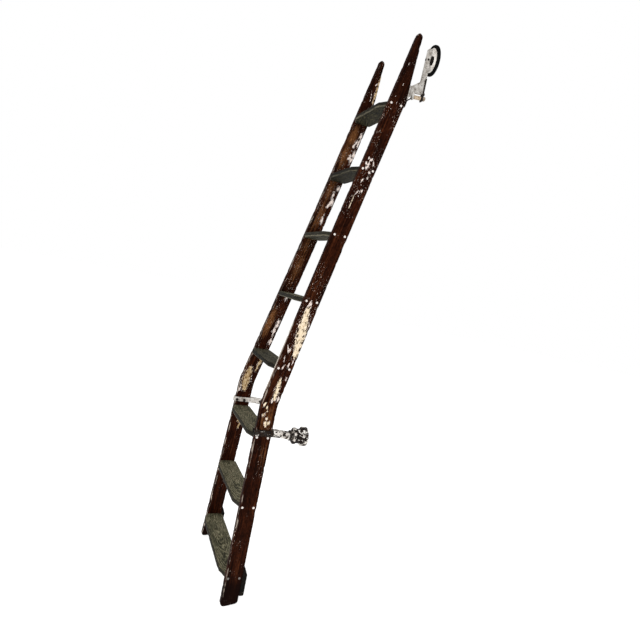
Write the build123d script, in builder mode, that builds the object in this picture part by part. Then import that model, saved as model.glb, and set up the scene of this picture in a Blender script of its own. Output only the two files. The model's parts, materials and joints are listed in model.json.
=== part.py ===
from build123d import *
import os
from math import cos, radians, sin, tan

os.makedirs("parts", exist_ok=True)

# Frame: X across the ladder, Y back to the wall, Z up from the soles, treads level, millimetres.
# FOOT_Y is the stiles' front edge at the floor; D() turns a distance behind that edge into Y.
FOOT_Y = -263.952

# ---- stiles ----
STILE_WIDTH = 75.0
STILE_THICK = 24.0
LOWER_LEAN = 1.95
UPPER_LEAN = 12.95
KINK_Z = 874.7
KINK_RADIUS = 200.0
TOP_HALF_WIDTH = 185.8
BOW = 153.4
BOW_LENGTH = 2500.0
BOW_TOP_Z = 2092.6
CUT_Z = 2277.0
CUT_BACK = 428.7
TIP_BACK = 445.2
TIP_BACK_Z = 2566.5
TIP_Z = 2574.5

# ---- treads ----
TREAD_COUNT = 8
TREAD_PITCH = 305.0
BOTTOM_TREAD_Z = 117.5
TREAD_THICK = 22.0
TREAD_NOSING = 18.0
TREAD_TAPER = 48.0
TREAD_BACK_OVERHANG = 8.0
HOUSING_DEPTH = 6.0

# ---- tread screws ----
SCREW_BACKSETS = (12.0, 61.4)
SCREW_HEAD_R = 5.0
SCREW_SHANK_R = 2.5
SCREW_LENGTH = 58.0

# ---- heel blocks ----
HEEL_BOTTOM_Z = 41.0
HEEL_TOP_Z = 161.0
HEEL_THICK = 19.0
HEEL_TOP_THICK = 5.0
HEEL_SLOPE_Z = 130.0

# ---- top fixture ----
FIX_X = TOP_HALF_WIDTH - STILE_THICK / 2
ARM_FRONT = 484.5
ARM_BACK = 508.5
ARM_TOP_FRONT = 488.5
ARM_TOP_BACK = 505.5
ARM_THICK = 12.0
ARM_TOP_Z = 2532.5
GUSSET_THICK = 7.0
FLANGE_THICK = 4.5
WHEEL_CANT = 8.0
WHEEL_YAW = 4.0
PIN_BACK = 496.5
PIN_Z = 2485.0
WHEEL_BACK = 519.5
WHEEL_R = 63.5
TYRE_WIDTH = 13.0
RIM_R = 50.0
AXLE_R = 5.0
AXLE_END = 22.05
RUNNING_GAP = 0.05
GUIDE_BACK = 487.0
GUIDE_Z = 2316.0
GUIDE_R = 8.5
GUIDE_PAD_BACK = 463.5
STUD_R = 4.0
KEEPER_FRONT = 503.0

# ---- ledge arms ----
LEDGE_RIGHT_Z = 747.0
LEDGE_LEFT_Z = 767.5
STRAP_ABOVE = 13.5
OUTER_STRAP_BELOW = 13.5
INNER_STRAP_BELOW = 8.0
STRAP_THICK = 4.2
STRAP_FRONT = 20.0
LEDGE_END = 182.0
LEDGE_BOLT_BACKSETS = (33.0, 71.0)
LEDGE_RIVET_BACK = 155.0
LEDGE_BLOCK_HIGH = 24.0
LEDGE_DROP_START = 122.0
LEDGE_END_DROP = 5.0
LEDGE_AXLE_DROP = 3.0
LEDGE_AXLE_OUT = 222.0
LEDGE_AXLE_R = 5.0
LEDGE_AXLE_DEPTH = 20.0

RIGHT = 1
LEFT = -1


def D(distance):
    return FOOT_Y + distance


def front(z):
    lower = min(z, KINK_Z) * tan(radians(LOWER_LEAN))
    upper = max(0, z - KINK_Z) * tan(radians(UPPER_LEAN))
    return D(lower + upper)


def back_lower(z):
    return D(z * tan(radians(LOWER_LEAN)) + STILE_WIDTH / cos(radians(LOWER_LEAN)))


def back_upper(z):
    return front(z) + STILE_WIDTH / cos(radians(UPPER_LEAN))


def back(z):
    return back_lower(z) if z < KINK_Z else back_upper(z)


def cut_back(z):
    return D(CUT_BACK + (z - CUT_Z) * (TIP_BACK - CUT_BACK) / (TIP_BACK_Z - CUT_Z))


def half_width(z):
    return TOP_HALF_WIDTH + BOW * (max(0, BOW_TOP_Z - z) / BOW_LENGTH) ** 2


def tread_z(number):
    return BOTTOM_TREAD_Z + (TREAD_COUNT - number) * TREAD_PITCH


def along_x(side, x, y, z):
    """A location at the given point whose local Z points outwards across the ladder."""
    return Location((side * x, y, z), (0, side * 90, 0))


def section(plane):
    """The plane through a turned part's axis: local X is the radius, local Y runs along the axis."""
    return Plane(origin=plane.origin, x_dir=plane.x_dir, z_dir=-plane.y_dir)


def turned(plane, points, radius=0, mode=Mode.ADD):
    """Revolves a closed (radius, height) outline about the plane's normal."""
    with BuildSketch(section(plane)) as half_section:
        with BuildLine():
            FilletPolyline(*points, radius=radius, close=True)
        make_face()
    revolve(half_section.sketch, axis=Axis(plane.origin, plane.z_dir), mode=mode)


def save(part, name):
    part.label = name
    export_step(part, "parts/" + name + ".step")


def bow_slab(side, mode):
    """Everything between a stile's outer and inner faces, across the whole ladder's depth."""
    stations = [-20, 150, 350, 600, 900, 1200, 1500, 1800, BOW_TOP_Z]
    outer = [(side * half_width(z), z) for z in stations]
    inner = [(side * (half_width(z) - STILE_THICK), z) for z in stations]
    top_outer = (side * TOP_HALF_WIDTH, 2620)
    top_inner = (side * (TOP_HALF_WIDTH - STILE_THICK), 2620)
    slope = -2 * BOW * (BOW_TOP_Z + 20) / BOW_LENGTH**2
    with BuildSketch(Plane.XZ.offset(-700)) as bow:
        with BuildLine():
            Spline(*outer, tangents=((side * slope, 1), (0, 1)))
            Line(outer[-1], top_outer)
            Line(top_outer, top_inner)
            Line(top_inner, inner[-1])
            Spline(*inner, tangents=((side * slope, 1), (0, 1)))
            Line(inner[0], outer[0])
        make_face()
    extrude(bow.sketch, amount=1400, mode=mode)


def tread_screw_shapes(side, mode, numbers):
    """The countersunk screws of the named treads, as solids or as the holes they sit in."""
    for number in numbers:
        z = tread_z(number)
        x = half_width(z)
        for backset in SCREW_BACKSETS:
            y = front(z) + backset
            with Locations(along_x(side, x - 1.5, y, z)):
                Cylinder(SCREW_HEAD_R, 2.0, align=(Align.CENTER, Align.CENTER, Align.MIN), mode=mode)
            with Locations(along_x(side, x - 4.5, y, z)):
                Cone(
                    SCREW_SHANK_R,
                    SCREW_HEAD_R,
                    3.0,
                    align=(Align.CENTER, Align.CENTER, Align.MIN),
                    mode=mode,
                )
            with Locations(along_x(side, x - 4.5, y, z)):
                Cylinder(
                    SCREW_SHANK_R,
                    SCREW_LENGTH,
                    align=(Align.CENTER, Align.CENTER, Align.MAX),
                    mode=mode,
                )


def ledge_bolt_holes(side, z, mode):
    with Locations([along_x(side, half_width(z) - 12, D(b), z) for b in LEDGE_BOLT_BACKSETS]):
        Cylinder(4.0, 80, mode=mode)


def heel_screw_shape(side, mode):
    z = 146.0
    x = half_width(z) - STILE_THICK / 2
    surface = Plane(origin=(side * x, back_lower(z) + 11.0, z), z_dir=(0, cos(radians(24)), sin(radians(24))))
    turned(surface, [(0, 0.8), (4.5, 0.8), (4.5, -1.2), (2.2, -3.4), (2.2, -45), (0, -45)], mode=mode)


def bracket_screw_shapes(mode):
    tilt = (TIP_BACK - CUT_BACK) / (TIP_BACK_Z - CUT_Z)
    for z in (2303.0, 2339.0):
        for x in (FIX_X - 7.8, FIX_X + 7.8):
            seat = Plane(origin=(x, cut_back(z) + FLANGE_THICK, z), z_dir=(0, 1, -tilt))
            turned(seat, [(0, 0.6), (3.4, 0.6), (3.4, -0.4), (1.8, -2.2), (1.8, -34), (0, -34)], mode=mode)


def brace_screw_shape(mode):
    z = 2266.0
    normal = (0, cos(radians(UPPER_LEAN)), -sin(radians(UPPER_LEAN)))
    seat = Plane(origin=(FIX_X, back_upper(z) + 4.1, z), z_dir=normal)
    turned(seat, [(0, 0.8), (4.2, 0.8), (4.2, -0.4), (2.0, -2.6), (2.0, -36), (0, -36)], mode=mode)


# ---- stiles ----
def stile(side, ledge_z):
    lower_back = STILE_WIDTH / cos(radians(LOWER_LEAN))
    upper_back = STILE_WIDTH / cos(radians(UPPER_LEAN))
    kink_back_z = KINK_Z - (upper_back - lower_back) / (tan(radians(UPPER_LEAN)) - tan(radians(LOWER_LEAN)))
    outline = [
        (front(0), 0),
        (D(22), 0),
        (back_lower(10), 10),
        (back_lower(kink_back_z), kink_back_z),
        (D(CUT_BACK), CUT_Z),
        (D(TIP_BACK), TIP_BACK_Z),
        (front(TIP_Z), TIP_Z),
        (front(KINK_Z), KINK_Z),
    ]
    radii = [12, 30, 12, KINK_RADIUS, 0, 13, 11, KINK_RADIUS]
    with BuildPart() as body:
        with BuildSketch(Plane.YZ.offset(side * 230)):
            with BuildLine():
                FilletPolyline(*outline, radius=radii, close=True)
            make_face()
        extrude(amount=80, both=True)
        bow_slab(side, Mode.INTERSECT)
        for number in range(1, TREAD_COUNT + 1):
            z = tread_z(number)
            floor = half_width(z) - STILE_THICK + HOUSING_DEPTH
            with Locations((side * (floor - 10), 0, z)):
                Box(20, 900, TREAD_THICK, mode=Mode.SUBTRACT)
        tread_screw_shapes(side, Mode.SUBTRACT, range(1, TREAD_COUNT + 1))
        ledge_bolt_holes(side, ledge_z, Mode.SUBTRACT)
        heel_screw_shape(side, Mode.SUBTRACT)
        if side == RIGHT:
            bracket_screw_shapes(Mode.SUBTRACT)
            brace_screw_shape(Mode.SUBTRACT)
    return body.part


stile_right = stile(RIGHT, LEDGE_RIGHT_Z)
save(stile_right, "stile_right")
stile_left = stile(LEFT, LEDGE_LEFT_Z)
save(stile_left, "stile_left")


# ---- treads ----
def tread(number):
    z = tread_z(number)
    end = half_width(z) - STILE_THICK + HOUSING_DEPTH
    inner = half_width(z) - STILE_THICK
    nosing = front(z) - TREAD_NOSING
    rear = back(z) + TREAD_BACK_OVERHANG
    housed_rear = back(z - TREAD_THICK / 2)
    with BuildPart() as board:
        with BuildSketch(Plane.XY.offset(z - TREAD_THICK / 2)):
            with BuildLine():
                Polyline(
                    (-end, housed_rear),
                    (2 - inner, housed_rear),
                    (2 - inner, rear),
                    (inner - 2, rear),
                    (inner - 2, housed_rear),
                    (end, housed_rear),
                    (end, front(z)),
                    (inner, front(z)),
                    (inner - TREAD_TAPER, nosing),
                    (TREAD_TAPER - inner, nosing),
                    (-inner, front(z)),
                    (-end, front(z)),
                    close=True,
                )
            make_face()
        extrude(amount=TREAD_THICK)
        fillet(board.edges().filter_by(Axis.X).group_by(Axis.Y)[0], 7)
        for side in (RIGHT, LEFT):
            tread_screw_shapes(side, Mode.SUBTRACT, [number])
    return board.part


for number in range(1, TREAD_COUNT + 1):
    save(tread(number), "tread_" + str(number))


# ---- tread screws ----
def tread_screws(side):
    with BuildPart() as screws:
        tread_screw_shapes(side, Mode.ADD, range(1, TREAD_COUNT + 1))
    return screws.part


save(tread_screws(RIGHT), "tread_screws_right")
save(tread_screws(LEFT), "tread_screws_left")


# ---- heel blocks ----
def heel_block(side):
    with BuildPart() as block:
        with BuildSketch(Plane.YZ.offset(side * 285)):
            with BuildLine():
                FilletPolyline(
                    (back_lower(HEEL_BOTTOM_Z), HEEL_BOTTOM_Z),
                    (back_lower(HEEL_BOTTOM_Z) + HEEL_THICK, HEEL_BOTTOM_Z),
                    (back_lower(HEEL_SLOPE_Z) + HEEL_THICK, HEEL_SLOPE_Z),
                    (back_lower(HEEL_TOP_Z) + HEEL_TOP_THICK, HEEL_TOP_Z),
                    (back_lower(HEEL_TOP_Z), HEEL_TOP_Z),
                    radius=[0, 6, 8, 3, 0],
                    close=True,
                )
            make_face()
        extrude(amount=60, both=True)
        bow_slab(side, Mode.INTERSECT)
        heel_screw_shape(side, Mode.SUBTRACT)
    return block.part


save(heel_block(RIGHT), "heel_block_right")
save(heel_block(LEFT), "heel_block_left")

with BuildPart() as heel_screws:
    heel_screw_shape(RIGHT, Mode.ADD)
    heel_screw_shape(LEFT, Mode.ADD)
save(heel_screws.part, "heel_screws")


# ---- top fixture ----
pin_point = Vector(FIX_X, D(PIN_BACK), PIN_Z)
wheel_axis = Vector(
    sin(radians(WHEEL_YAW)),
    cos(radians(WHEEL_CANT)) * cos(radians(WHEEL_YAW)),
    sin(radians(WHEEL_CANT)) * cos(radians(WHEEL_YAW)),
)
wheel_centre = pin_point + wheel_axis * ((WHEEL_BACK - PIN_BACK) / wheel_axis.Y)
wheel_plane = Plane(origin=wheel_centre, z_dir=wheel_axis)
guide_axis = Vector(0, cos(radians(WHEEL_CANT)), sin(radians(WHEEL_CANT)))
guide_plane = Plane(origin=(FIX_X, D(GUIDE_BACK), GUIDE_Z), z_dir=guide_axis)


def wheel_axle_shape(mode):
    outline = [
        (0, -34),
        (AXLE_R, -34),
        (AXLE_R, -12.4),
        (9, -12.4),
        (9, -10.3),
        (AXLE_R, -10.3),
        (AXLE_R, 10),
        (4, 10),
        (4, AXLE_END),
        (0, AXLE_END),
    ]
    turned(wheel_plane, outline, mode=mode)


def wheel_pin_shape(mode):
    with Locations(along_x(RIGHT, FIX_X, D(PIN_BACK), PIN_Z)):
        Cylinder(3.0, ARM_THICK, mode=mode)


def guide_stud_shape(mode):
    turned(guide_plane, [(0, -32), (STUD_R, -32), (STUD_R, 36.5), (0, 36.5)], mode=mode)


def keeper_bolt_shape(mode):
    with Locations(Location((FIX_X, D(485), 2338), (-90, 0, 0))):
        Cylinder(3.0, 32, align=(Align.CENTER, Align.CENTER, Align.MIN), mode=mode)


def top_bracket_body():
    with BuildPart() as casting:
        with BuildSketch(Plane.YZ.offset(FIX_X)):
            with BuildLine():
                FilletPolyline(
                    (cut_back(2293), 2293),
                    (cut_back(2349), 2349),
                    (D(441), 2352),
                    (D(ARM_FRONT), 2386),
                    (D(ARM_FRONT), 2410),
                    (D(ARM_BACK), 2410),
                    (D(ARM_BACK), 2403),
                    (D(KEEPER_FRONT), 2403),
                    (D(KEEPER_FRONT), 2334),
                    (D(GUIDE_PAD_BACK), 2328),
                    (D(GUIDE_PAD_BACK), 2301),
                    (D(455), 2302.5),
                    (D(455), 2316),
                    radius=[0, 0, 3, 12, 0, 0, 0, 0, 6, 3, 2, 2, 0],
                    close=True,
                )
            make_face()
        extrude(amount=GUSSET_THICK / 2, both=True)
        with BuildSketch(Plane.YZ.offset(FIX_X)):
            with BuildLine():
                FilletPolyline(
                    (cut_back(2291), 2291),
                    (cut_back(2350), 2350),
                    (cut_back(2350) + FLANGE_THICK, 2350),
                    (cut_back(2291) + FLANGE_THICK, 2291),
                    radius=0,
                    close=True,
                )
            make_face()
        extrude(amount=12, both=True)
        with BuildSketch(Plane.YZ.offset(FIX_X)):
            with BuildLine():
                FilletPolyline(
                    (D(ARM_FRONT), 2382),
                    (D(KEEPER_FRONT), 2399),
                    (D(KEEPER_FRONT), 2403),
                    (D(ARM_BACK), 2403),
                    (D(ARM_TOP_BACK), 2455),
                    (D(ARM_TOP_BACK), ARM_TOP_Z),
                    (D(ARM_TOP_FRONT), ARM_TOP_Z),
                    radius=[0, 0, 0, 0, 60, 8.3, 8.3],
                    close=True,
                )
            make_face()
        extrude(amount=ARM_THICK / 2, both=True)
        with BuildSketch(Plane.YZ.offset(FIX_X)):
            with BuildLine():
                FilletPolyline(
                    (D(454), 2303),
                    (D(GUIDE_PAD_BACK), 2301),
                    (D(GUIDE_PAD_BACK), 2330),
                    (D(454), 2330),
                    radius=0,
                    close=True,
                )
            make_face()
        extrude(amount=8, both=True)
        wheel_axle_shape(Mode.SUBTRACT)
        wheel_pin_shape(Mode.SUBTRACT)
        guide_stud_shape(Mode.SUBTRACT)
        keeper_bolt_shape(Mode.SUBTRACT)
        bracket_screw_shapes(Mode.SUBTRACT)
    return casting.part


save(top_bracket_body(), "top_bracket")

with BuildPart() as top_bracket_screws:
    bracket_screw_shapes(Mode.ADD)
save(top_bracket_screws.part, "top_bracket_screws")

with BuildPart() as top_brace:
    with BuildSketch(Plane.YZ.offset(FIX_X)):
        with BuildLine():
            Polyline(
                (back_upper(2254), 2254),
                (back_upper(2276), 2276),
                (D(430.2), 2286.8),
                (D(434.4), 2290.3),
                (D(453.9), 2306.2),
                (D(453.9), 2299.7),
                (D(437), 2285.9),
                (D(433.2), 2280.5),
                (back_upper(2272) + 4.2, 2272),
                (back_upper(2254) + 4.2, 2254),
                close=True,
            )
        make_face()
    extrude(amount=10, both=True)
    brace_screw_shape(Mode.SUBTRACT)
save(top_brace.part, "top_brace")

with BuildPart() as top_brace_screw:
    brace_screw_shape(Mode.ADD)
save(top_brace_screw.part, "top_brace_screw")

with BuildPart() as wheel_axle:
    wheel_axle_shape(Mode.ADD)
    wheel_pin_shape(Mode.SUBTRACT)
save(wheel_axle.part, "wheel_axle")

with BuildPart() as wheel_axle_pin:
    wheel_pin_shape(Mode.ADD)
    with Locations(along_x(RIGHT, FIX_X + ARM_THICK / 2, D(PIN_BACK), PIN_Z)):
        Cylinder(4.5, 1.6, align=(Align.CENTER, Align.CENTER, Align.MIN))
    with Locations(along_x(RIGHT, FIX_X - ARM_THICK / 2, D(PIN_BACK), PIN_Z)):
        Cylinder(4.5, 1.6, align=(Align.CENTER, Align.CENTER, Align.MAX))
save(wheel_axle_pin.part, "wheel_axle_pin")

with BuildPart() as wheel_hub:
    turned(
        wheel_plane,
        [
            (AXLE_R + RUNNING_GAP, -10),
            (12, -10),
            (14, -3),
            (45.5, -3),
            (47, -5.8),
            (RIM_R, -5.8),
            (RIM_R, 5.8),
            (47, 5.8),
            (45.5, 3),
            (14, 3),
            (12, 8),
            (AXLE_R + RUNNING_GAP, 8),
        ],
    )
save(wheel_hub.part, "wheel_hub")

with BuildPart() as wheel_tyre:
    turned(
        wheel_plane,
        [
            (RIM_R, -TYRE_WIDTH / 2),
            (WHEEL_R, -TYRE_WIDTH / 2),
            (WHEEL_R, TYRE_WIDTH / 2),
            (RIM_R, TYRE_WIDTH / 2),
        ],
        radius=[0, 5, 5, 0],
    )
save(wheel_tyre.part, "wheel_tyre")

with BuildPart() as wheel_washer:
    turned(wheel_plane, [(AXLE_R, 8.3), (11, 8.3), (11, 10), (AXLE_R, 10)])
save(wheel_washer.part, "wheel_washer")

with BuildPart() as wheel_nut:
    with BuildSketch(wheel_plane.offset(10)):
        RegularPolygon(8, 6)
        Circle(4, mode=Mode.SUBTRACT)
    extrude(amount=6)
save(wheel_nut.part, "wheel_nut")

with BuildPart() as keeper_plate:
    with Locations((FIX_X, D((KEEPER_FRONT + ARM_BACK) / 2), 2354.0)):
        Box(20, ARM_BACK - KEEPER_FRONT, 98)
    guide_stud_shape(Mode.SUBTRACT)
    keeper_bolt_shape(Mode.SUBTRACT)
save(keeper_plate.part, "keeper_plate")

with BuildPart() as keeper_bolt:
    keeper_bolt_shape(Mode.ADD)
save(keeper_bolt.part, "keeper_bolt")

with BuildPart() as keeper_nut:
    with BuildSketch(Plane.XZ.offset(-D(ARM_BACK + 5.5))):
        with Locations((FIX_X, 2338)):
            RegularPolygon(7, 6)
            Circle(3, mode=Mode.SUBTRACT)
    extrude(amount=5.5)
save(keeper_nut.part, "keeper_nut")

with BuildPart() as guide_roller:
    turned(
        guide_plane,
        [
            (STUD_R + RUNNING_GAP, -22),
            (GUIDE_R, -22),
            (GUIDE_R, 12),
            (STUD_R + RUNNING_GAP, 12),
        ],
        radius=[0, 1.2, 1.2, 0],
    )
save(guide_roller.part, "guide_roller")

with BuildPart() as guide_stud:
    guide_stud_shape(Mode.ADD)
save(guide_stud.part, "guide_stud")

with BuildPart() as guide_nut:
    turned(
        guide_plane,
        [(STUD_R, 23.4), (9.5, 23.4), (9.5, 34.0), (6.5, 34.0), (6.5, 32.8), (STUD_R, 32.8)],
        radius=[0, 1.5, 1.5, 0, 0, 0],
    )
save(guide_nut.part, "guide_nut")


# ---- ledge arms ----
def ledge_rivet_shape(side, z, mode):
    with Locations(along_x(side, half_width(z) - 12, D(LEDGE_RIVET_BACK), z)):
        Cylinder(4.0, STILE_THICK + 2 * STRAP_THICK, mode=mode)


def ledge_axle_point(side, z):
    return (side * LEDGE_AXLE_OUT, D(LEDGE_END), z - LEDGE_AXLE_DROP)


def ledge_axle_hole(side, z, mode):
    with Locations(Location(ledge_axle_point(side, z), (-90, 0, 0))):
        Cylinder(
            LEDGE_AXLE_R,
            LEDGE_AXLE_DEPTH,
            align=(Align.CENTER, Align.CENTER, Align.MAX),
            mode=mode,
        )


def ledge_strap(side, z, below, near_x, far_x, stile_body):
    """A flat strap lying on one face of the stile and running on behind it."""
    with BuildPart() as strap:
        with BuildSketch(Plane.YZ.offset(side * near_x)):
            with BuildLine():
                FilletPolyline(
                    (D(STRAP_FRONT), z - below),
                    (D(LEDGE_DROP_START), z - below),
                    (D(LEDGE_END), z - below - LEDGE_END_DROP),
                    (D(LEDGE_END), z + STRAP_ABOVE - LEDGE_END_DROP),
                    (D(LEDGE_DROP_START), z + STRAP_ABOVE),
                    (D(STRAP_FRONT), z + STRAP_ABOVE),
                    radius=[6, 60, 2, 2, 60, 6],
                    close=True,
                )
            make_face()
        extrude(amount=side * (far_x - near_x))
        add(stile_body, mode=Mode.SUBTRACT)
        ledge_bolt_holes(side, z, Mode.SUBTRACT)
        ledge_rivet_shape(side, z, Mode.SUBTRACT)
    return strap.part


def ledge_block(side, z):
    inner = half_width(z) - STILE_THICK + 1
    outer = half_width(z) - 1
    start = back(z) + 2
    with BuildPart() as block:
        with BuildSketch(Plane.YZ.offset(side * inner)) as side_view:
            with BuildLine():
                Polyline(
                    (start, z - LEDGE_BLOCK_HIGH / 2),
                    (D(LEDGE_DROP_START), z - LEDGE_BLOCK_HIGH / 2),
                    (D(LEDGE_END), z - LEDGE_BLOCK_HIGH / 2 - LEDGE_END_DROP),
                    (D(LEDGE_END), z + LEDGE_BLOCK_HIGH / 2 - LEDGE_END_DROP),
                    (D(LEDGE_DROP_START), z + LEDGE_BLOCK_HIGH / 2),
                    (start, z + LEDGE_BLOCK_HIGH / 2),
                    close=True,
                )
            make_face()
        extrude(side_view.sketch, amount=side * (outer - inner))
        ledge_rivet_shape(side, z, Mode.SUBTRACT)
        ledge_axle_hole(side, z, Mode.SUBTRACT)
    return block.part


def ledge_bolts(side, z):
    face = half_width(z) + STRAP_THICK
    with BuildPart() as bolts:
        for backset in LEDGE_BOLT_BACKSETS:
            with Locations(along_x(side, face, D(backset), z)):
                Cylinder(4.0, 39.5, align=(Align.CENTER, Align.CENTER, Align.MAX))
            with Locations(along_x(side, face, D(backset), z)):
                Cylinder(7.5, 1.6, align=(Align.CENTER, Align.CENTER, Align.MIN))
            with Locations(along_x(side, face + 1.6, D(backset), z)):
                Cone(7.5, 4.5, 1.9, align=(Align.CENTER, Align.CENTER, Align.MIN))
    return bolts.part


def ledge_nuts(side, z):
    face = half_width(z) - STILE_THICK - STRAP_THICK
    with BuildPart() as nuts:
        for backset in LEDGE_BOLT_BACKSETS:
            with BuildSketch(Plane.YZ.offset(side * face)):
                with Locations((D(backset), z)):
                    RegularPolygon(7.5, 6)
                    Circle(4, mode=Mode.SUBTRACT)
        extrude(amount=-side * 5)
    return nuts.part


def ledge_rivet(side, z):
    with BuildPart() as rivet:
        ledge_rivet_shape(side, z, Mode.ADD)
        for x, way in ((half_width(z) + STRAP_THICK, 1), (half_width(z) - STILE_THICK - STRAP_THICK, -1)):
            with Locations(along_x(side * way, way * x, D(LEDGE_RIVET_BACK), z)):
                Cone(6.5, 3.5, 2.4, align=(Align.CENTER, Align.CENTER, Align.MIN))
    return rivet.part


for side, name, z, stile_body in (
    (RIGHT, "right", LEDGE_RIGHT_Z, stile_right),
    (LEFT, "left", LEDGE_LEFT_Z, stile_left),
):
    x = half_width(z)
    outer_strap = ledge_strap(side, z, OUTER_STRAP_BELOW, x - 1, x + STRAP_THICK, stile_body)
    save(outer_strap, "ledge_strap_" + name + "_outer")
    x = x - STILE_THICK
    inner_strap = ledge_strap(side, z, INNER_STRAP_BELOW, x - STRAP_THICK, x + 1, stile_body)
    save(inner_strap, "ledge_strap_" + name + "_inner")
    save(ledge_block(side, z), "ledge_block_" + name)
    save(ledge_bolts(side, z), "ledge_bolts_" + name)
    save(ledge_nuts(side, z), "ledge_nuts_" + name)
    save(ledge_rivet(side, z), "ledge_rivet_" + name)

# ---- ledge roller, on the right arm ----
ledge_plane = Plane(origin=ledge_axle_point(RIGHT, LEDGE_RIGHT_Z), z_dir=(0, 1, 0))

with BuildPart() as ledge_axle:
    turned(
        ledge_plane,
        [
            (0, -LEDGE_AXLE_DEPTH),
            (LEDGE_AXLE_R, -LEDGE_AXLE_DEPTH),
            (LEDGE_AXLE_R, 82.3),
            (4, 82.3),
            (4, 90),
            (0, 90),
        ],
    )
save(ledge_axle.part, "ledge_axle")

with BuildPart() as ledge_washer:
    turned(ledge_plane, [(LEDGE_AXLE_R, 0), (23, 0), (23, 6), (LEDGE_AXLE_R, 6)], radius=[0, 1.5, 1.5, 0])
save(ledge_washer.part, "ledge_washer")

with BuildPart() as ledge_roller:
    turned(
        ledge_plane,
        [
            (LEDGE_AXLE_R + RUNNING_GAP, 6.3),
            (19, 6.3),
            (19, 17),
            (36, 17),
            (36, 27),
            (32, 31),
            (32, 51),
            (37, 55),
            (42, 55),
            (42, 79),
            (20, 79),
            (20, 82),
            (LEDGE_AXLE_R + RUNNING_GAP, 82),
        ],
        radius=[0, 1, 3, 3, 2.5, 2, 2, 1.5, 2.5, 5, 2, 1, 0],
    )
save(ledge_roller.part, "ledge_roller")

with BuildPart() as ledge_nut:
    with BuildSketch(ledge_plane.offset(82.3)):
        RegularPolygon(8.5, 6)
        Circle(4, mode=Mode.SUBTRACT)
    extrude(amount=6)
save(ledge_nut.part, "ledge_nut")
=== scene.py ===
import json
import math
import random

import bmesh
import bpy
import numpy as np
from mathutils import Matrix, Vector, noise

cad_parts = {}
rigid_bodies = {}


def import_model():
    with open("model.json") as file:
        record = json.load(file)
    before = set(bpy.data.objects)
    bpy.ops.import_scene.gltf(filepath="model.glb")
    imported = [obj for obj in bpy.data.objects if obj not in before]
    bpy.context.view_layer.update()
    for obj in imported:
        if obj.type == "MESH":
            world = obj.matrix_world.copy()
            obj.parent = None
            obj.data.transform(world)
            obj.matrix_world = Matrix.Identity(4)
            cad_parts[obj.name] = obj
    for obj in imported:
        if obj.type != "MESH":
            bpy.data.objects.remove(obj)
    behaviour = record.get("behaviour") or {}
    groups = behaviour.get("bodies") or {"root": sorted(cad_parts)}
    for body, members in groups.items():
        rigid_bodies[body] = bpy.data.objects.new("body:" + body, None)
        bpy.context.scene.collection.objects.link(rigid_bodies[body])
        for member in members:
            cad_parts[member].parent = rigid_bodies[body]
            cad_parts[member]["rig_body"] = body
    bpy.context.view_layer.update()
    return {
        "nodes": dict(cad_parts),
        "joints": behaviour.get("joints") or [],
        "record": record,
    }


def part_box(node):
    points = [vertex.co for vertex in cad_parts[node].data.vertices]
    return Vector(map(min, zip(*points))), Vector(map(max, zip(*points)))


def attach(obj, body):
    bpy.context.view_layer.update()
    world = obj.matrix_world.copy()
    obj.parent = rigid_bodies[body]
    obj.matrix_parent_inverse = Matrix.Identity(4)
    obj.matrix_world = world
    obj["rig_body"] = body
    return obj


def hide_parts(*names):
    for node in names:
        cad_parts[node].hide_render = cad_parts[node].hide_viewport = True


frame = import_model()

nodes = frame["nodes"]
joints = {j["name"]: j for j in frame["joints"]}
slots = {s["node"]: s["material_slot"] for s in frame["record"]["subparts"]}

# Lengths are metres, except where a comment says millimetres. On timber the point attribute
# "board" is (across, behind, along) in millimetres: across the thickness, about how far behind
# the front arris, and along the length. The stile and tread finishes are written in it, and the
# metal finishes in plain positions.
MM = 0.001
TREADS = 8
STILE_THICK = 0.024
STILE_THICK_MM = 24
KINK = 0.8747  # height at which the stiles bend
BLACK, WHITE = (0.0, 0.0, 0.0), (1.0, 1.0, 1.0)
LEAN_LOW, LEAN_HIGH = math.radians(1.95), math.radians(12.95)
WELD = 2e-6  # vertices closer than this are one
WELD_TURNED = 1e-6


# ------------------------------------------------------------------ small helpers
def scene_object(name, mesh, material, body, slot, *replaced):
    obj = bpy.data.objects.new(name, mesh)
    bpy.context.scene.collection.objects.link(obj)
    mesh.materials.clear()
    mesh.materials.append(material)
    if replaced:
        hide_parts(*replaced)
    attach(obj, body)
    return obj


def smooth(mesh):
    mesh.polygons.foreach_set("use_smooth", [True] * len(mesh.polygons))


def loft(name, rings, attributes):
    """A closed skin over rings of equal length, capped at both ends, with its point attributes."""
    count = len(rings[0])
    points = [p for ring in rings for p in ring]
    faces = []
    for r in range(len(rings) - 1):
        for i in range(count):
            j = (i + 1) % count
            faces.append((r * count + i, r * count + j, (r + 1) * count + j, (r + 1) * count + i))
    faces.append(tuple(range(count - 1, -1, -1)))
    last = (len(rings) - 1) * count
    faces.append(tuple(range(last, last + count)))
    mesh = bpy.data.meshes.new(name)
    mesh.from_pydata([tuple(p) for p in points], [], faces)
    for title, values in attributes.items():
        layer = mesh.attributes.new(title, "FLOAT_VECTOR", "POINT")
        layer.data.foreach_set("vector", np.array(values, np.float32).ravel())
    bm = bmesh.new()
    bm.from_mesh(mesh)
    bmesh.ops.recalc_face_normals(bm, faces=bm.faces)
    bm.to_mesh(mesh)
    bm.free()
    smooth(mesh)
    mesh.update()
    return mesh


def weighted(obj):
    modifier = obj.modifiers.new("normals", "WEIGHTED_NORMAL")
    modifier.keep_sharp = True
    return obj


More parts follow.
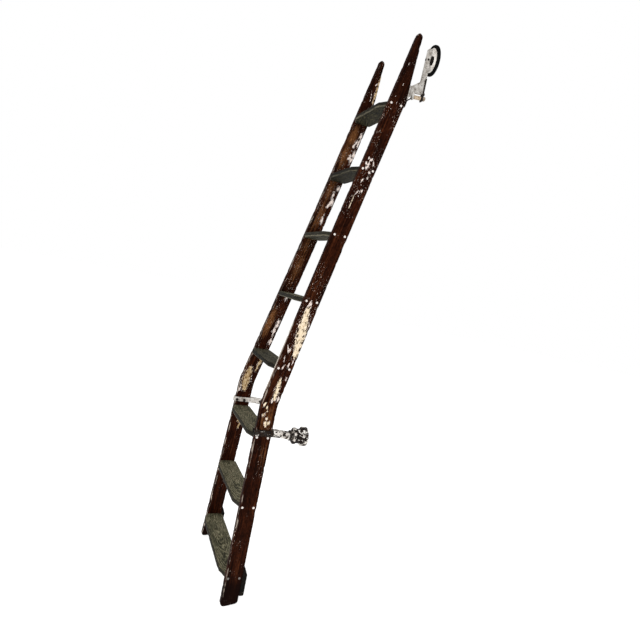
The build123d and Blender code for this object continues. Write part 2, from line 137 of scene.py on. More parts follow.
def rounded_box_ring(a0, a1, b0, b1, radius, steps_a, steps_b, corner=4):
    """Points round a rectangle in two coordinates, corners rounded, sides evenly divided."""
    radius = max(0.0002, min(radius, (a1 - a0) * 0.45, (b1 - b0) * 0.45))
    ring = []

    def side(p, q, steps):
        for k in range(1, steps):
            t = k / steps
            ring.append((p[0] + (q[0] - p[0]) * t, p[1] + (q[1] - p[1]) * t))

    def turn(ca, cb, start):
        for k in range(corner + 1):
            t = math.radians(start + 90 * k / corner)
            ring.append((ca + radius * math.cos(t), cb + radius * math.sin(t)))

    turn(a1 - radius, b0 + radius, -90)
    side((a1, b0 + radius), (a1, b1 - radius), steps_b)
    turn(a1 - radius, b1 - radius, 0)
    side((a1 - radius, b1), (a0 + radius, b1), steps_a)
    turn(a0 + radius, b1 - radius, 90)
    side((a0, b1 - radius), (a0, b0 + radius), steps_b)
    turn(a0 + radius, b0 + radius, 180)
    side((a0 + radius, b0), (a1 - radius, b0), steps_a)
    return ring


def lathe(name, outline, centre, axis, segments=96):
    """Turns an outline of (radius, distance along the axis), in millimetres, about an axis."""
    axis = Vector(axis).normalized()
    side = axis.orthogonal().normalized()
    up = axis.cross(side)
    bm = bmesh.new()
    rings = []
    for k in range(segments):
        t = 2 * math.pi * k / segments
        out = side * math.cos(t) + up * math.sin(t)
        rings.append([
            bm.verts.new(Vector(centre) + out * r * MM + axis * h * MM) for r, h in outline
        ])
    for k in range(segments):
        a, b = rings[k], rings[(k + 1) % segments]
        for i in range(len(outline)):
            j = (i + 1) % len(outline)
            bm.faces.new((a[i], a[j], b[j], b[i]))
    bmesh.ops.remove_doubles(bm, verts=bm.verts, dist=WELD_TURNED)
    bmesh.ops.recalc_face_normals(bm, faces=bm.faces)
    mesh = bpy.data.meshes.new(name)
    bm.to_mesh(mesh)
    bm.free()
    smooth(mesh)
    return mesh


def arc_corners(points, steps=5):
    """Rounds each corner of a closed outline given as (radius, height, corner radius)."""
    out = []
    count = len(points)
    for i, (r, h, fillet) in enumerate(points):
        here = Vector((r, h))
        before = Vector(points[i - 1][:2]) - here
        after = Vector(points[(i + 1) % count][:2]) - here
        if fillet <= 0:
            out.append((r, h))
            continue
        angle = before.angle(after)
        reach = min(fillet / math.tan(angle / 2), before.length * 0.49, after.length * 0.49)
        p, q = here + before.normalized() * reach, here + after.normalized() * reach
        for k in range(steps + 1):
            t = k / steps
            out.append(tuple(p * (1 - t) ** 2 + here * 2 * t * (1 - t) + q * t * t))
    return out


def eased_copy(name, width, material, segments=3, slot=None):
    """A copy of a CAD node with eased arrises, standing for the node."""
    node = nodes[name]
    mesh = node.data.copy()
    bm = bmesh.new()
    bm.from_mesh(mesh)
    bmesh.ops.remove_doubles(bm, verts=bm.verts, dist=WELD)
    bmesh.ops.dissolve_limit(bm, angle_limit=math.radians(1.0), verts=bm.verts, edges=bm.edges)
    bm.to_mesh(mesh)
    bm.free()
    smooth(mesh)
    obj = scene_object(name + "_eased", mesh, material, node["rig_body"], slot or slots[name], name)
    modifier = obj.modifiers.new("ease", "BEVEL")
    modifier.width = width
    modifier.segments = segments
    modifier.limit_method = "ANGLE"
    modifier.angle_limit = math.radians(32)
    modifier.use_clamp_overlap = True
    return weighted(obj)


# ------------------------------------------------------------------ node building
class Shader:
    """A short way to write a node tree."""

    def __init__(self, name):
        self.material = bpy.data.materials.new(name)
        self.material.use_nodes = True
        self.tree = self.material.node_tree
        self.tree.nodes.clear()
        self.out = self.tree.nodes.new("ShaderNodeOutputMaterial")
        self.bsdf = self.tree.nodes.new("ShaderNodeBsdfPrincipled")
        self.tree.links.new(self.bsdf.outputs[0], self.out.inputs[0])

    def node(self, kind, **settings):
        made = self.tree.nodes.new(kind)
        for key, value in settings.items():
            setattr(made, key, value)
        return made

    def put(self, socket, value):
        if isinstance(value, bpy.types.NodeSocket):
            self.tree.links.new(value, socket)
        else:
            socket.default_value = value

    def math(self, op, a, b=0.0, clamp=False):
        made = self.node("ShaderNodeMath", operation=op, use_clamp=clamp)
        self.put(made.inputs[0], a)
        self.put(made.inputs[1], b)
        return made.outputs[0]

    def mul(self, a, b, clamp=False):
        return self.math("MULTIPLY", a, b, clamp)

    def add(self, a, b):
        return self.math("ADD", a, b)

    def sub(self, a, b):
        return self.math("SUBTRACT", a, b)

    def swing(self, value, amount):
        """A noise swung either side of its middle."""
        return self.mul(self.sub(value, 0.5), amount)

    def position(self):
        return self.node("ShaderNodeTexCoord").outputs["Object"]

    def attribute(self, name):
        return self.node("ShaderNodeAttribute", attribute_name=name).outputs["Vector"]

    def stretch(self, vector, scale, shift=(0, 0, 0)):
        made = self.node("ShaderNodeMapping", vector_type="POINT")
        self.put(made.inputs["Vector"], vector)
        made.inputs["Location"].default_value = shift
        made.inputs["Scale"].default_value = scale
        return made.outputs[0]

    def noise(self, vector, scale=1.0, detail=4.0, rough=0.55, distort=0.0):
        made = self.node("ShaderNodeTexNoise")
        self.put(made.inputs["Vector"], vector)
        made.inputs["Scale"].default_value = scale
        made.inputs["Detail"].default_value = detail
        made.inputs["Roughness"].default_value = rough
        made.inputs["Distortion"].default_value = distort
        return made.outputs["Fac"]

    def step(self, value, low, high, top=1.0):
        made = self.node("ShaderNodeMapRange", interpolation_type="SMOOTHSTEP")
        self.put(made.inputs[0], value)
        made.inputs[1].default_value = low
        made.inputs[2].default_value = high
        made.inputs[3].default_value = 0.0
        made.inputs[4].default_value = top
        return made.outputs[0]

    def ramp(self, value, *stops):
        made = self.node("ShaderNodeValToRGB")
        self.put(made.inputs[0], value)
        elements = made.color_ramp.elements
        elements[0].position, elements[0].color = stops[0][0], (*stops[0][1], 1)
        elements[1].position, elements[1].color = stops[-1][0], (*stops[-1][1], 1)
        for place, color in stops[1:-1]:
            elements.new(place).color = (*color, 1)
        return made.outputs[0]

    def mix(self, factor, a, b, blend="MIX"):
        made = self.node("ShaderNodeMix", data_type="RGBA", blend_type=blend)
        self.put(made.inputs[0], factor)
        for socket, value in ((made.inputs[6], a), (made.inputs[7], b)):
            self.put(socket, (*value, 1) if isinstance(value, tuple) else value)
        return made.outputs[2]

    def split(self, vector):
        made = self.node("ShaderNodeSeparateXYZ")
        self.put(made.inputs[0], vector)
        return made.outputs

    def finish(self, color, rough, height=None, metal=0.0, bump=0.4, depth=0.001, specular=0.4):
        color = (*color, 1) if isinstance(color, tuple) else color
        self.put(self.bsdf.inputs["Base Color"], color)
        self.put(self.bsdf.inputs["Roughness"], rough)
        self.put(self.bsdf.inputs["Metallic"], metal)
        self.bsdf.inputs["Specular IOR Level"].default_value = specular
        if height is not None:
            made = self.node("ShaderNodeBump")
            made.inputs["Strength"].default_value = bump
            made.inputs["Distance"].default_value = depth
            self.put(made.inputs["Height"], height)
            self.tree.links.new(made.outputs[0], self.bsdf.inputs["Normal"])
        return self.material


# ------------------------------------------------------------------ stile finish
# Old paint lies in loose flakes and long smears. Places are millimetres behind the front arris,
# and heights are counted from the treads.
def level(number, share=0.0):
    """Height in millimetres, a share of the way from one tread up to the next."""
    top, bottom, own = (
        sum(corner.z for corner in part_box("tread_%d" % n)) / 2 for n in (1, TREADS, number)
    )
    return 1000 * (own + share * (top - bottom) / (TREADS - 1))


def scatter(seed, count, low, high, near, far, wide, tall, ochre=0):
    """Loose flakes: (behind, along, half width, half length, lean, 1 where ochre)."""
    draw = random.Random(seed)
    return [
        (
            draw.uniform(near, far), draw.uniform(low, high),
            wide * draw.uniform(0.45, 1.0), tall * draw.uniform(0.4, 1.0),
            draw.uniform(-0.35, 0.35), ochre,
        )
        for _ in range(count)
    ]


def smear(low, high, at_low, at_high, wide, steps=7):
    """One long ochre patch: overlapping ovals, widest halfway."""
    shares = [(k + 0.5) / steps for k in range(steps)]
    return [
        (
            at_low + (at_high - at_low) * t, low + (high - low) * t,
            wide * (0.45 + 0.55 * math.sin(math.pi * t)), 0.85 * (high - low) / steps, 0.1, 1,
        )
        for t in shares
    ]


RIGHT_PAINT = (
    scatter(11, 5, level(1, -0.10), level(1, 0.60), 12, 46, 2, 8)
    + scatter(12, 9, level(2, -0.05), level(2, 0.25), 10, 50, 7, 13)
    + scatter(13, 6, level(2, -0.40), level(2, -0.05), 20, 55, 4, 10)
    + smear(level(2, -0.60), level(2, -0.40), 22, 22, 2)
    + scatter(14, 4, level(4, -0.15), level(4), 25, 55, 5, 18)
    + smear(level(5, 0.20), level(4, -0.12), 60, 30, 22)
    + scatter(15, 8, level(5, -0.15), level(5, 0.35), 15, 65, 4, 18)
    + smear(level(6, 0.55), level(6, 0.85), 46, 38, 11)
    + scatter(16, 4, level(6, 0.50), level(6, 0.75), 25, 65, 6, 18)
    + scatter(17, 7, level(6, 0.12), level(6, 0.50), 12, 38, 6, 12, 1)
    + scatter(18, 1, level(6, 0.18), level(6, 0.22), 42, 46, 14, 20, 1)
)
LEFT_PAINT = (
    smear(level(1, 0.35), level(1, 0.80), 48, 34, 6)
    + scatter(21, 4, level(1, 0.30), level(1, 0.80), 22, 48, 4, 12)
    + scatter(22, 6, level(2, 0.30), level(2, 0.80), 46, 66, 10, 22)
    + scatter(23, 7, level(3, 0.25), level(3, 0.90), 42, 64, 9, 28)
    + scatter(24, 1, level(4, -0.12), level(4, -0.06), 42, 46, 12, 12)
    + scatter(25, 7, level(5, 0.15), level(5, 0.55), 50, 68, 8, 24)
    + smear(level(6, 0.65), level(6, 0.95), 55, 58, 9)
    + smear(level(6, 0.30), level(6, 0.70), 30, 22, 20)
    + scatter(26, 2, level(6, 0.30), level(6, 0.40), 4, 8, 8, 15)
    + scatter(27, 2, level(7, 0.60), level(7, 0.85), 10, 55, 8, 24, 1)
)
HIDDEN_PAINT = scatter(31, 4, level(7, 0.40), level(4, 0.70), 28, 54, 6, 22)


FAR_OUTSIDE = -3.0


def depth_inside(points, patches):
    """Per (behind, along) point, depth in the nearest patch: 1 at a centre, 0 at an outline."""
    best = np.full(len(points), FAR_OUTSIDE)
    for behind, along, wide, tall, lean, _ochre in patches:
        back, up = points[:, 0] - behind, points[:, 1] - along
        cos, sin = math.cos(lean), math.sin(lean)
        distance = np.hypot((back * cos + up * sin) / wide, (-back * sin + up * cos) / tall)
        best = np.maximum(best, 1 - distance)
    return best


def wear_field(board, outer, inner, warm):
    """Per point: depth inside old paint, depth inside its ochre part, share rubbed to bare wood."""
    board = np.array(board)
    points = board[:, 1:]
    outside = board[:, 0] > STILE_THICK_MM / 2
    field = np.zeros((len(board), 3))
    for column, part in ((0, lambda patch: True), (1, lambda patch: patch[-1])):
        on_outer = depth_inside(points, [patch for patch in outer if part(patch)])
        on_inner = depth_inside(points, [patch for patch in inner if part(patch)])
        field[:, column] = np.where(outside, on_outer, on_inner)
    for behind, along, wide, tall, strength in warm:
        away = np.hypot((points[:, 0] - behind) / wide, (points[:, 1] - along) / tall)
        field[:, 2] = np.maximum(field[:, 2], strength * np.clip(1.25 - away, 0, 1))
    return field


def stile_material(name, front_bare, cream, speck_low):
    """Varnish over wood. front_bare is (low, high, strength) of the rubbed front face, cream the
    three shades of the ochre paint, and pale specks thin out below speck_low."""
    sh = Shader(name)
    board = sh.attribute("board")
    wear = sh.split(sh.attribute("wear"))
    across, behind, along = sh.split(board)
    grain = sh.noise(sh.stretch(board, (0.11, 0.16, 0.006)), 1.0, 6, 0.62, 0.4)
    fine = sh.noise(sh.stretch(board, (0.7, 0.9, 0.035)), 1.0, 5, 0.65)
    cloud = sh.noise(sh.stretch(board, (0.03, 0.03, 0.009)), 1.0, 4, 0.6)
    ragged = sh.noise(sh.stretch(board, (0.12, 0.16, 0.075), (3, 5, 7)), 1.0, 5, 0.65, 0.5)
    scratch = sh.noise(sh.stretch(board, (0.4, 0.62, 0.05), (8, 1, 2)), 1.0, 4, 0.6)

    varnish = sh.ramp(
        sh.add(sh.mul(grain, 0.6), sh.mul(cloud, 0.4)),
        (0.36, (0.0060, 0.0018, 0.0010)),
        (0.47, (0.0185, 0.0042, 0.0016)),
        (0.55, (0.0400, 0.0092, 0.0030)),
        (0.66, (0.088, 0.0250, 0.0080)),
    )
    crumb = sh.noise(sh.stretch(board, (0.42, 0.5, 0.30), (7, 3, 5)), 1.0, 4, 0.65, 0.3)
    mottle = sh.ramp(
        ragged,
        (0.38, (0.36, 0.33, 0.31)),
        (0.50, (0.68, 0.67, 0.66)),
        (0.62, WHITE),
    )
    bare = sh.ramp(
        fine,
        (0.28, (0.070, 0.024, 0.0080)),
        (0.45, (0.135, 0.050, 0.0160)),
        (0.58, (0.225, 0.095, 0.0340)),
        (0.75, (0.40, 0.23, 0.115)),
    )
    rubbed = sh.step(sh.add(wear[2], sh.swing(grain, 1.1)), 0.24, 0.72)
    color = sh.mix(1.0, sh.mix(rubbed, varnish, bare), mottle, "MULTIPLY")

    # thin pale scratches and specks in the varnish, along the grain
    specks = sh.noise(sh.stretch(board, (0.25, 0.34, 0.11), (11, 4, 9)), 1.0, 3, 0.6)
    speck_zone = sh.noise(sh.stretch(board, (0.02, 0.02, 0.012), (1, 2, 3)), 1.0, 2, 0.5)
    speck_zone = sh.sub(speck_zone, sh.step(along, speck_low, speck_low - 350, 0.11))
    speck = sh.mul(sh.step(specks, 0.635, 0.665), sh.step(speck_zone, 0.45, 0.57), clamp=True)
    line = sh.noise(sh.stretch(board, (0.5, 0.75, 0.018), (4, 4, 4)), 1.0, 3, 0.6)
    lines = sh.mul(sh.step(line, 0.66, 0.72), sh.step(cloud, 0.42, 0.6, 0.40))
    color = sh.mix(lines, color, (0.20, 0.105, 0.060))
    color = sh.mix(speck, color, (0.66, 0.53, 0.45))
    # darker towards the foot and towards the top
    darkening = sh.add(sh.step(along, 150, 70, 0.9), sh.step(along, 2120, 2420, 0.45))
    color = sh.mix(darkening, color, (0.0042, 0.0010, 0.0006))

    # arrises: black grime at the back one, rubbed pale at the front one
    dirt = sh.step(sh.add(behind, sh.mul(ragged, 8.0)), 72.0, 79.0, 0.9)
    color = sh.mix(dirt, color, (0.006, 0.0045, 0.004))

    edge = sh.swing(ragged, 3.6)
    edge = sh.add(edge, sh.swing(scratch, 1.4))
    edge = sh.add(edge, sh.swing(crumb, 2.6))
    paint = sh.step(sh.add(wear[0], edge), 0.12, 0.17)
    ochre = sh.step(wear[1], -0.30, 0.05)
    cream = sh.ramp(ragged, (0.36, cream[0]), (0.5, cream[1]), (0.64, cream[2]))
    white = sh.ramp(
        crumb,
        (0.34, (0.40, 0.30, 0.25)),
        (0.48, (0.72, 0.60, 0.54)),
        (0.60, (0.88, 0.80, 0.75)),
    )
    paint_color = sh.mix(ochre, white, cream)
    stain = sh.noise(sh.stretch(board, (0.2, 0.25, 0.16), (5, 5, 1)), 1.0, 4, 0.6)
    paint_color = sh.mix(sh.step(stain, 0.60, 0.70, 0.6), paint_color, (0.22, 0.145, 0.075))
    color = sh.mix(paint, color, paint_color)

    # the narrow front face: rubbed bare to a grey beige over part of its length
    low, high, strength = front_bare
    face = sh.mul(sh.step(behind, 3.2, 1.6), sh.step(across, 17, 11))
    reach = sh.mul(
        sh.step(along, low - 60, low + 60), sh.step(along, high + 90, high - 90)
    )
    broken = sh.noise(sh.stretch(board, (0.14, 0.2, 0.02), (2, 9, 4)), 1.0, 4, 0.62)
    worn = sh.add(sh.mul(reach, strength), sh.swing(broken, 1.5))
    bare_face = sh.mul(sh.step(worn, 0.22, 0.5), face)
    pale = sh.ramp(
        fine,
        (0.30, (0.16, 0.125, 0.095)),
        (0.50, (0.36, 0.32, 0.27)),
        (0.68, (0.52, 0.48, 0.43)),
    )
    color = sh.mix(bare_face, color, pale)
    both_edges = sh.add(sh.step(across, 4.0, 1.0), sh.step(across, 21.0, 23.4, 0.6))
    rim = sh.mul(sh.step(behind, 4.5, 1.5), both_edges)
    chipped = sh.mul(sh.step(broken, 0.52, 0.60), sh.step(along, 1150, 950))
    color = sh.mix(sh.mul(rim, chipped), color, (0.50, 0.42, 0.35))

    height = sh.add(sh.mul(fine, 0.35), sh.mul(paint, 0.5))
    height = sh.sub(height, sh.mul(speck, 0.2))
    rough = sh.add(sh.mul(grain, 0.25), sh.add(sh.mul(paint, 0.25), 0.36))
    return sh.finish(color, rough, height, bump=0.55, depth=0.0012, specular=0.020)


# ------------------------------------------------------------------ other finishes
def tread_material():
    sh = Shader("weathered_tread")
    board = sh.attribute("board")
    across, behind, along = sh.split(board)
    wobble = sh.noise(sh.stretch(board, (0.03, 0.045, 0.012)), 1.0, 3, 0.55)
    radius, side, tone = sh.split(sh.attribute("grain"))
    moved = sh.node("ShaderNodeCombineXYZ")
    sh.put(moved.inputs[0], sh.add(radius, sh.swing(wobble, 22.0)))
    sh.put(moved.inputs[1], side)
    length = sh.node("ShaderNodeVectorMath", operation="LENGTH")
    sh.put(length.inputs[0], moved.outputs[0])
    turns = sh.math("FRACT", sh.mul(length.outputs["Value"], 0.17))
    ring = sh.mul(sh.step(turns, 0.0, 0.75), sh.step(turns, 1.0, 0.86))
    fine = sh.noise(sh.stretch(board, (0.9, 1.3, 0.028)), 1.0, 6, 0.68)
    cloud = sh.noise(sh.stretch(board, (0.03, 0.035, 0.012)), 1.0, 4, 0.6)
    shade = sh.add(
        sh.mul(sh.sub(1.0, ring), 0.17),
        sh.add(sh.mul(fine, 0.95), sh.mul(cloud, 0.55)),
    )
    wood = sh.ramp(
        shade,
        (0.62, (0.0100, 0.0105, 0.0060)),
        (0.75, (0.044, 0.042, 0.024)),
        (0.86, (0.120, 0.110, 0.066)),
        (1.00, (0.300, 0.275, 0.185)),
    )
    brown = sh.step(cloud, 0.52, 0.70, 0.55)
    wood = sh.mix(brown, wood, (0.055, 0.036, 0.022))
    # painted shade: faces that look downwards take the much darker spotted colour below, standing
    # for the shade under each tread; the tops take the pale spotted colour above
    normal = sh.split(sh.node("ShaderNodeNewGeometry").outputs["True Normal"])
    shaded_underside = sh.step(normal[2], 0.15, -0.35)
    spotted = sh.noise(sh.stretch(board, (0.13, 0.19, 0.055), (8, 8, 8)), 1.0, 4, 0.72)
    below = sh.ramp(
        spotted,
        (0.42, (0.040, 0.038, 0.028)),
        (0.50, (0.150, 0.142, 0.105)),
        (0.60, (0.66, 0.64, 0.52)),
    )
    above = sh.ramp(
        spotted,
        (0.42, (0.44, 0.42, 0.37)),
        (0.49, (0.94, 0.93, 0.90)),
        (0.56, WHITE),
    )
    wood = sh.mix(1.0, wood, sh.mix(shaded_underside, above, below), "MULTIPLY")
    nose = sh.mul(sh.step(behind, 4.2, 1.6), sh.step(across, 3.5, 6.5))
    wood = sh.mix(sh.mul(nose, 0.90), wood, (0.010, 0.009, 0.007))
    # painted highlight: a mottled pale line along the nosing's lower front arris, where light
    # catches the rounded edge
    arris_highlight = sh.mul(sh.step(behind, 6.5, 2.5), sh.step(across, 7.0, 3.0))
    wood = sh.mix(sh.mul(arris_highlight, sh.step(fine, 0.40, 0.60, 0.60)), wood, (0.30, 0.27, 0.20))
    fleck = sh.noise(sh.stretch(board, (0.5, 0.6, 0.22), (5, 1, 3)), 1.0, 3, 0.6)
    wood = sh.mix(sh.step(fleck, 0.66, 0.70, 0.55), wood, (0.36, 0.35, 0.27))
    wood = sh.mix(1.0, wood, sh.ramp(tone, (0.0, BLACK), (1.0, WHITE)), "MULTIPLY")
    darkening = sh.noise(sh.stretch(board, (0.05, 0.07, 0.05), (6, 2, 4)), 1.0, 4, 0.6)
    wood = sh.mix(sh.step(darkening, 0.57, 0.72, 0.55), wood, (0.030, 0.026, 0.020))
    crack = sh.noise(sh.stretch(board, (0.35, 0.55, 0.006), (2, 7, 1)), 1.0, 3, 0.55)
    crack = sh.step(crack, 0.35, 0.30)
    wood = sh.mix(sh.mul(crack, 0.7), wood, (0.012, 0.011, 0.009))
    height = sh.add(sh.mul(fine, 0.7), sh.mul(ring, -0.25))
    height = sh.sub(height, sh.mul(crack, 0.8))
    rough = sh.add(sh.mul(fine, 0.2), 0.66)
    return sh.finish(wood, rough, height, bump=0.7, depth=0.0016, specular=0.08)


def flaked_metal(name, bare_share, seed, scale, rust, tone, bare_before=None, hub_shade_centre=None):
    """White paint flaking off iron: barer in front of bare_before, and darker within a circle round
    a hub, which is partly bare iron and partly painted shade of the arm and the recessed web.
    """
    sh = Shader(name)
    place = sh.position()
    lump = sh.noise(sh.stretch(place, (1, 1, 1), (seed, seed, 0)), scale, 6, 0.62, 0.3)
    spot = sh.noise(sh.stretch(place, (1, 1, 1), (0, seed, seed)), scale * 3.2, 4, 0.6)
    dirt = sh.noise(place, scale * 0.45, 4, 0.6)
    cover = sh.add(sh.mul(lump, 0.8), sh.mul(spot, 0.2))
    if bare_before is not None:
        ahead = sh.step(sh.split(place)[1], bare_before + 0.012, bare_before - 0.012, 0.13)
        cover = sh.add(cover, ahead)
    if hub_shade_centre is not None:
        # painted shade: a dark disc round the hub, partly bare iron and partly standing for the
        # arm's shadow on the recessed web
        hub_shade_distance = sh.node("ShaderNodeVectorMath", operation="DISTANCE")
        sh.put(hub_shade_distance.inputs[0], place)
        hub_shade_distance.inputs[1].default_value = hub_shade_centre
        cover = sh.add(cover, sh.step(hub_shade_distance.outputs["Value"], 0.0215, 0.0170, 0.35))
    bare = sh.step(cover, 0.62 - bare_share, 0.645 - bare_share)
    iron = sh.ramp(
        spot,
        (0.30, (0.0030, 0.0024, 0.0020)),
        (0.55, (0.0120, 0.0090, 0.0072)),
        (0.70, (0.11 * rust + 0.02, 0.045 * rust + 0.012, 0.018 * rust + 0.008)),
    )
    paint = sh.ramp(
        dirt,
        (0.30, (0.20 * tone, 0.175 * tone, 0.145 * tone)),
        (0.46, (0.46 * tone, 0.43 * tone, 0.395 * tone)),
        (0.62, (0.66 * tone, 0.635 * tone, 0.60 * tone)),
    )
    stain = sh.step(spot, 0.57, 0.72, 0.45)
    paint = sh.mix(stain, paint, (0.27, 0.21, 0.145))
    color = sh.mix(bare, paint, iron)
    rough = sh.add(sh.mul(bare, 0.12), sh.add(sh.mul(spot, 0.3), 0.38))
    height = sh.add(sh.sub(1.0, bare), sh.mul(spot, 0.5))
    metal = sh.mul(bare, 0.3)
    return sh.finish(color, rough, height, metal, bump=0.5, depth=0.0006, specular=0.10)


def plain_finish(name, colors, scale, rough, metal=0.0, specular=0.35, dull_below=None):
    """One mottled colour from dark, middle and light, dulled below a height if one is given."""
    sh = Shader(name)
    dark, mid, light = colors
    place = sh.position()
    coarse = sh.noise(place, scale, 5, 0.6)
    fine = sh.noise(place, scale * 5, 3, 0.6)
    mixed = sh.add(sh.mul(coarse, 0.65), sh.mul(fine, 0.35))
    color = sh.ramp(mixed, (0.34, dark), (0.5, mid), (0.66, light))
    if dull_below is not None:
        dull = sh.step(sh.split(place)[2], dull_below + 0.02, dull_below, 0.85)
        color = sh.mix(dull, color, (0.05, 0.04, 0.035))
    shine = sh.add(sh.mul(fine, 0.3), rough)
    return sh.finish(color, shine, fine, metal, bump=0.45, depth=0.0004, specular=specular)


# Wood rubbed bare, in millimetres: (behind, along, half width, half length, strength)
RIGHT_WARM = [
    (50, level(7, 0.7), 35, 120, 0.33),
    (40, level(7, 0.2), 40, 160, 0.24),
    (36, level(6, 0.25), 40, 110, 0.46),
    (15, level(6, 0.25), 20, 90, 0.40),
    (30, level(4, 0.5), 40, 200, 0.10),
]
LEFT_WARM = [
    (22, level(2, 0.75), 35, 90, 0.66),
    (22, level(2, 0.4), 35, 110, 0.60),
    (25, level(3, 0.85), 30, 130, 0.50),
    (25, level(3, 0.35), 40, 140, 0.50),
    (32, level(4, 0.85), 36, 120, 0.46),
    (34, level(4, 0.45), 34, 150, 0.52),
    (15, level(5, 0.5), 24, 100, 0.85),
    (25, level(6, 0.5), 30, 80, 0.60),
    (35, level(7, 0.45), 40, 200, 0.16),
]
SPECKS_ABOVE = 1150
stile_right_finish = stile_material(
    "varnish_right",
    (930, 1260, 0.62),
    ((0.50, 0.38, 0.24), (0.78, 0.64, 0.45), (0.82, 0.70, 0.56)),
    SPECKS_ABOVE,
)
stile_left_finish = stile_material(
    "varnish_left",
    (300, 2100, 0.20),
    ((0.20, 0.115, 0.048), (0.40, 0.265, 0.125), (0.66, 0.54, 0.38)),
    SPECKS_ABOVE,
)
tread_finish = tread_material()
bracket_finish = flaked_metal("flaked_bracket", 0.025, 3.0, 110, rust=0.5, tone=0.74)
strap_finish_right = flaked_metal(
    "flaked_strap_right", 0.108, 7.0, 75, rust=0.5, tone=1.2, bare_before=-0.160
)
strap_finish_left = flaked_metal("flaked_strap_left", 0.02, 5.0, 80, rust=0.4, tone=1.15)
# the web is darker round its hub: partly bare iron, partly painted shade of the arm and the recess
web_finish = flaked_metal(
    "flaked_web", 0.0, 1.0, 60, rust=0.3, tone=1.25, hub_shade_centre=joints["top_wheel_spin"]["pos_m"]
)
roller_finish = flaked_metal("flaked_roller", 0.176, 9.0, 52, rust=0.3, tone=1.32)
iron_finish = plain_finish(
    "dull_iron",
    ((0.006, 0.005, 0.0045), (0.020, 0.016, 0.013), (0.050, 0.038, 0.029)),
    160, 0.46, metal=0.3, specular=0.16,
)
black_finish = plain_finish(
    "black_wood",
    ((0.0012, 0.0010, 0.0009), (0.0036, 0.0026, 0.0021), (0.0130, 0.0085, 0.0060)),
    60, 0.55, specular=0.07,
)
tyre_finish = plain_finish(
    "black_tyre",
    ((0.0012, 0.0012, 0.0012), (0.0026, 0.0026, 0.0026), (0.0060, 0.0056, 0.0052)),
    70, 0.62, specular=0.03,
)
tan_finish = plain_finish(
    "rubbed_tan",
    ((0.14, 0.085, 0.045), (0.40, 0.30, 0.20), (0.62, 0.52, 0.40)),
    140, 0.45,
)
nut_finish = plain_finish(
    "rubbed_nut",
    ((0.03, 0.022, 0.016), (0.24, 0.18, 0.125), (0.56, 0.50, 0.43)),
    150, 0.45, metal=0.2, specular=0.3,
)
screw_finish = plain_finish(
    "worn_screw",
    ((0.34, 0.29, 0.26), (0.72, 0.66, 0.61), (0.88, 0.85, 0.82)),
    420, 0.32, metal=0.15, specular=0.5, dull_below=0.25,
)

# ------------------------------------------------------------------ stiles
CUT_STEP = 0.003
PLAIN_FROM, PLAIN_TO = 0.030, 0.036  # up from the foot, down from the top: even cuts between
ARRIS = 0.006  # how near an arris the timber chips
DENT, CHIP = 0.00022, 0.0055  # depths of dents and of chips
FOOT_CUTS = [0.0001, 0.0006, 0.0014, 0.0025, 0.004, 0.006, 0.0085, 0.0115, 0.015, 0.019, 0.024]
TOP_CUTS = [
    0.032, 0.028, 0.024, 0.020, 0.0165, 0.0135, 0.011,
    0.0085, 0.0063, 0.0045, 0.003, 0.0018, 0.0009, 0.0003,
]
# close to where the front arris meets the floor
foot_front = (
    min(v.co.y for v in nodes["stile_right"].data.vertices if 0.02 < v.co.z < 0.9)
    - 0.020 * math.tan(LEAN_LOW)
)


def front_line(z):
    """Where the stiles' front arris runs at a height."""
    below, above = min(z, KINK), max(0, z - KINK)
    return foot_front + below * math.tan(LEAN_LOW) + above * math.tan(LEAN_HIGH)


def slices(node, levels):
    """Front, back and outer face of a CAD stile at each height."""
    mesh = nodes[node].data
    mesh.calc_loop_triangles()
    co = np.zeros(len(mesh.vertices) * 3)
    mesh.vertices.foreach_get("co", co)
    co = co.reshape(-1, 3)
    tri = np.zeros(len(mesh.loop_triangles) * 3, np.int32)
    mesh.loop_triangles.foreach_get("vertices", tri)
    tri = tri.reshape(-1, 3)
    sides = np.concatenate([tri[:, [0, 1]], tri[:, [1, 2]], tri[:, [2, 0]]])
    edges = np.unique(np.sort(sides, axis=1), axis=0)
    a, b = co[edges[:, 0]], co[edges[:, 1]]
    found = []
    for z in levels:
        cross = (a[:, 2] - z) * (b[:, 2] - z) < 0
        p, q = a[cross], b[cross]
        t = ((z - p[:, 2]) / (q[:, 2] - p[:, 2]))[:, None]
        hit = p + (q - p) * t
        outer = np.abs(hit[:, 0]).max()
        face = hit[np.abs(np.abs(hit[:, 0]) - outer) < 0.004]
        found.append((face[:, 1].min(), face[:, 1].max(), outer))
    return found


